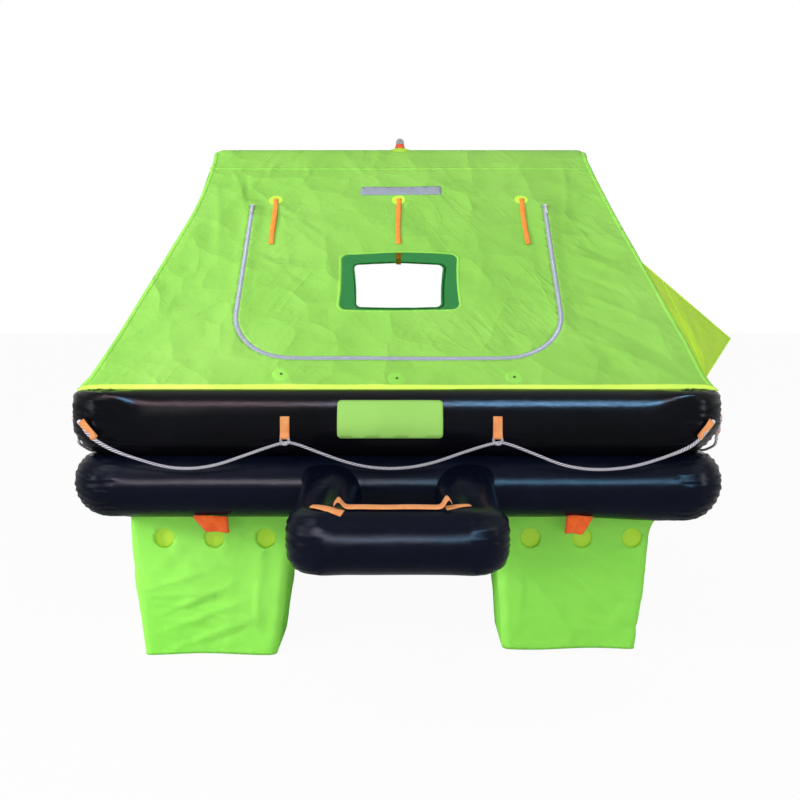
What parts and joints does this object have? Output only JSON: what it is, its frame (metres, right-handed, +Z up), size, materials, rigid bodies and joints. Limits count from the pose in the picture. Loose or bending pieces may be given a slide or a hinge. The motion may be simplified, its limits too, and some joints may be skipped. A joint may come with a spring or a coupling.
{
  "type": "inflated liferaft with canopy",
  "caption": "Inflated two-tube liferaft with a zipped ridge canopy, lookout hood, boarding ramp, water ballast bags and lifelines.",
  "frame": {"origin": "centre of the floor sheet's underside, in the middle of the square of buoyancy tubes", "axes": "+X to the right seen from the boarding side, +Y away from the boarding side, +Z up"},
  "size_m": [2.0604, 2.5664, 1.673],
  "materials": {
    "tube_fabric": "gloss black coated fabric",
    "floor_fabric": "satin black coated fabric",
    "mat_foil": "silvered quilted mat",
    "canopy_fabric": "semi-gloss coated light fabric",
    "hood_fabric": "semi-gloss coated light fabric",
    "bag_fabric": "semi-gloss coated light fabric",
    "webbing": "woven tape",
    "rope": "laid rope",
    "zip": "moulded coil on tape",
    "slider": "cast, polished",
    "reflective": "retroreflective tape",
    "sign": "semi-gloss coated fabric",
    "lamp_orange": "moulded",
    "lamp_grey": "clear grey dome",
    "valve": "moulded",
    "cylinder_paint": "grey gloss paint",
    "brass": "machined",
    "ballast": "cast bar"
  },
  "bodies": {
    "raft": {"lower_tube": "tube_fabric", "upper_tube": "tube_fabric", "arch_tube": "tube_fabric", "ramp_tube": "tube_fabric", "floor_sheet": "floor_fabric", "floor_mat": "mat_foil", "canopy_front": "canopy_fabric", "canopy_rear": "canopy_fabric", "canopy_ridge": "canopy_fabric", "gable_left": "canopy_fabric", "gable_right": "canopy_fabric", "door_front": "canopy_fabric", "door_rear": "canopy_fabric", "lookout_hood": "hood_fabric", "zip_front": "zip", "zip_rear": "zip", "door_ties_front": "webbing", "door_ties_rear": "webbing", "ramp_strap": "webbing", "under_loops": "webbing", "lifeline_tabs": "webbing", "cylinder_straps": "webbing", "reflective_tape_front": "reflective", "reflective_tape_rear": "reflective", "snap_discs": "canopy_fabric", "sign_panel": "sign", "bag_weights": "ballast", "lifeline_splices": "rope", "lamp_patch": "canopy_fabric", "lamp_base": "lamp_orange", "lamp_dome": "lamp_grey", "inner_lamp": "lamp_grey", "relief_valves": "valve", "inlet_valves": "valve", "gas_cylinder": "cylinder_paint", "operating_head": "brass", "ballast_bag_left_front": "bag_fabric", "ballast_bag_left_rear": "bag_fabric", "ballast_bag_right_front": "bag_fabric", "ballast_bag_right_rear": "bag_fabric", "lifeline_front": "rope", "lifeline_right": "rope", "lifeline_rear": "rope", "lifeline_left": "rope", "topping_valve_lower": "valve", "topping_valve_upper": "valve"},
    "slider_left_front": {"zip_slider_left_front": "slider"},
    "pull_left_front": {"zip_pull_left_front": "slider"},
    "slider_right_front": {"zip_slider_right_front": "slider"},
    "pull_right_front": {"zip_pull_right_front": "slider"},
    "slider_left_rear": {"zip_slider_left_rear": "slider"},
    "pull_left_rear": {"zip_pull_left_rear": "slider"},
    "slider_right_rear": {"zip_slider_right_rear": "slider"},
    "pull_right_rear": {"zip_pull_right_rear": "slider"},
    "cap_lower": {"valve_cap_lower": "valve"},
    "cap_upper": {"valve_cap_upper": "valve"}
  },
  "joints": [
    {"name": "zip_left_front_slide", "type": "slide", "parent": "raft", "child": "slider_left_front", "axis": [0, -0.7111, -0.7031], "range_m": [0, 0.485]},
    {"name": "pull_left_front_hinge", "type": "hinge", "parent": "slider_left_front", "child": "pull_left_front", "pos_m": [-0.509, -0.27637, 0.96229], "axis": [-1, 0, 0], "range_deg": [0, 150]},
    {"name": "zip_right_front_slide", "type": "slide", "parent": "raft", "child": "slider_right_front", "axis": [0, -0.7111, -0.7031], "range_m": [0, 0.485]},
    {"name": "pull_right_front_hinge", "type": "hinge", "parent": "slider_right_front", "child": "pull_right_front", "pos_m": [0.509, -0.27637, 0.96229], "axis": [-1, 0, 0], "range_deg": [0, 150]},
    {"name": "zip_left_rear_slide", "type": "slide", "parent": "raft", "child": "slider_left_rear", "axis": [0, 0.7111, -0.7031], "range_m": [0, 0.485]},
    {"name": "pull_left_rear_hinge", "type": "hinge", "parent": "slider_left_rear", "child": "pull_left_rear", "pos_m": [0.509, 0.27637, 0.96229], "axis": [1, 0, 0], "range_deg": [0, 150]},
    {"name": "zip_right_rear_slide", "type": "slide", "parent": "raft", "child": "slider_right_rear", "axis": [0, 0.7111, -0.7031], "range_m": [0, 0.485]},
    {"name": "pull_right_rear_hinge", "type": "hinge", "parent": "slider_right_rear", "child": "pull_right_rear", "pos_m": [-0.509, 0.27637, 0.96229], "axis": [1, 0, 0], "range_deg": [0, 150]},
    {"name": "valve_cap_lower_turn", "type": "hinge", "parent": "raft", "child": "cap_lower", "pos_m": [0.26, 0.748, 0.09743], "axis": [0, -1, 0], "range_deg": [0, 90]},
    {"name": "valve_cap_upper_turn", "type": "hinge", "parent": "raft", "child": "cap_upper", "pos_m": [0.26, 0.748, 0.27743], "axis": [0, -1, 0], "range_deg": [0, 90]}
  ]
}
